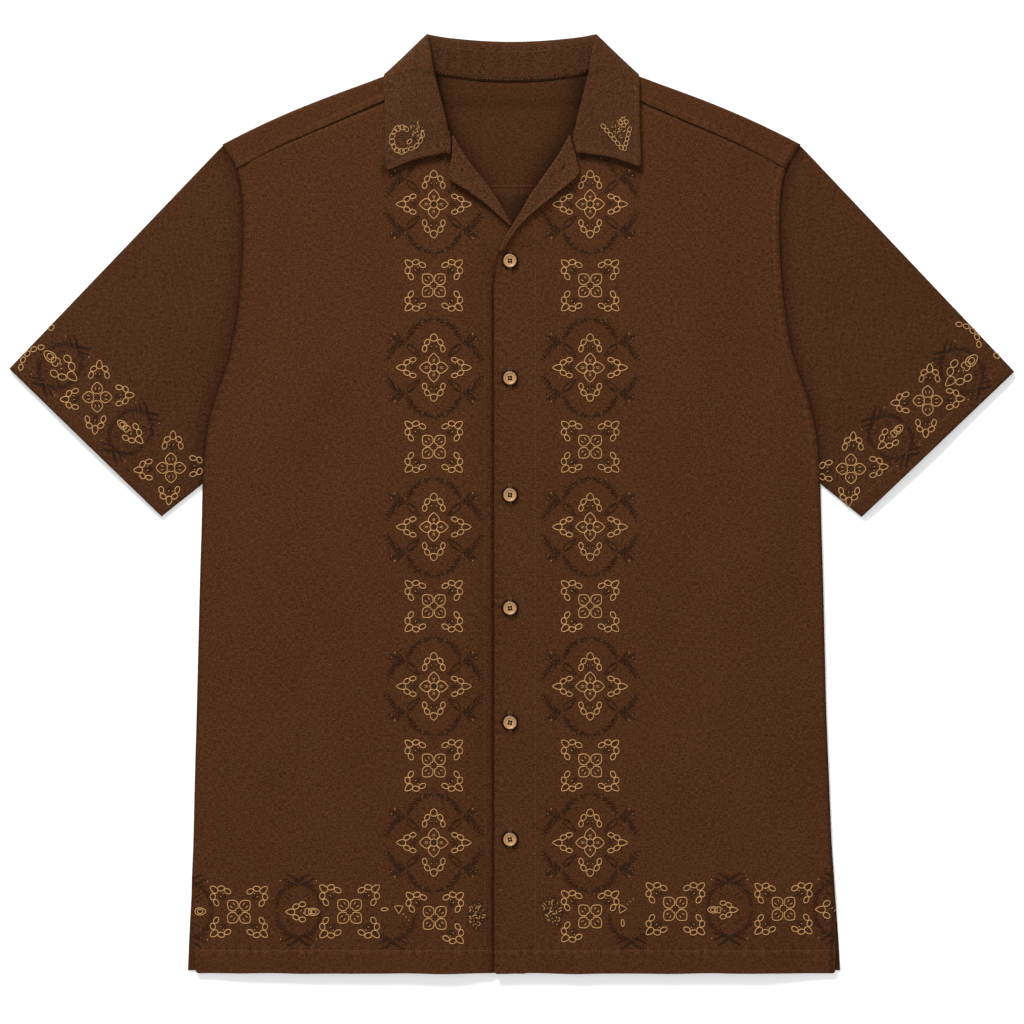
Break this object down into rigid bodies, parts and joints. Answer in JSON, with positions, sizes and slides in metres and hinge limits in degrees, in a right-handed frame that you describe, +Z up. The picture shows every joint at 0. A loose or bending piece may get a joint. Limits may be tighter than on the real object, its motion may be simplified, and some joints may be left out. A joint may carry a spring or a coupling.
{
  "type": "short-sleeved camp-collar shirt laid flat",
  "caption": "Short-sleeved button-up shirt with a camp collar, buttoned and laid flat on its back.",
  "frame": {"origin": "middle of the bounding box, on the surface that the shirt lies on", "axes": "+X across the shirt to the wearer's left (right in a front view), +Y from the hem up to the collar, +Z up out of the surface"},
  "size_m": [0.8644, 0.8068, 0.0134],
  "materials": {
    "brown_cloth": "slubby plain-weave linen and cotton in warm brown, matt",
    "coconut_shell": "turned coconut shell, tan, satin"
  },
  "bodies": {
    "root": {"back": "brown_cloth", "yoke": "brown_cloth", "front_under": "brown_cloth", "front_over": "brown_cloth", "lapel_under": "brown_cloth", "lapel_over": "brown_cloth", "collar": "brown_cloth", "sleeve_left": "brown_cloth", "sleeve_right": "brown_cloth", "button_1": "coconut_shell", "button_2": "coconut_shell", "button_3": "coconut_shell", "button_4": "coconut_shell", "button_5": "coconut_shell", "button_6": "coconut_shell"}
  },
  "joints": []
}
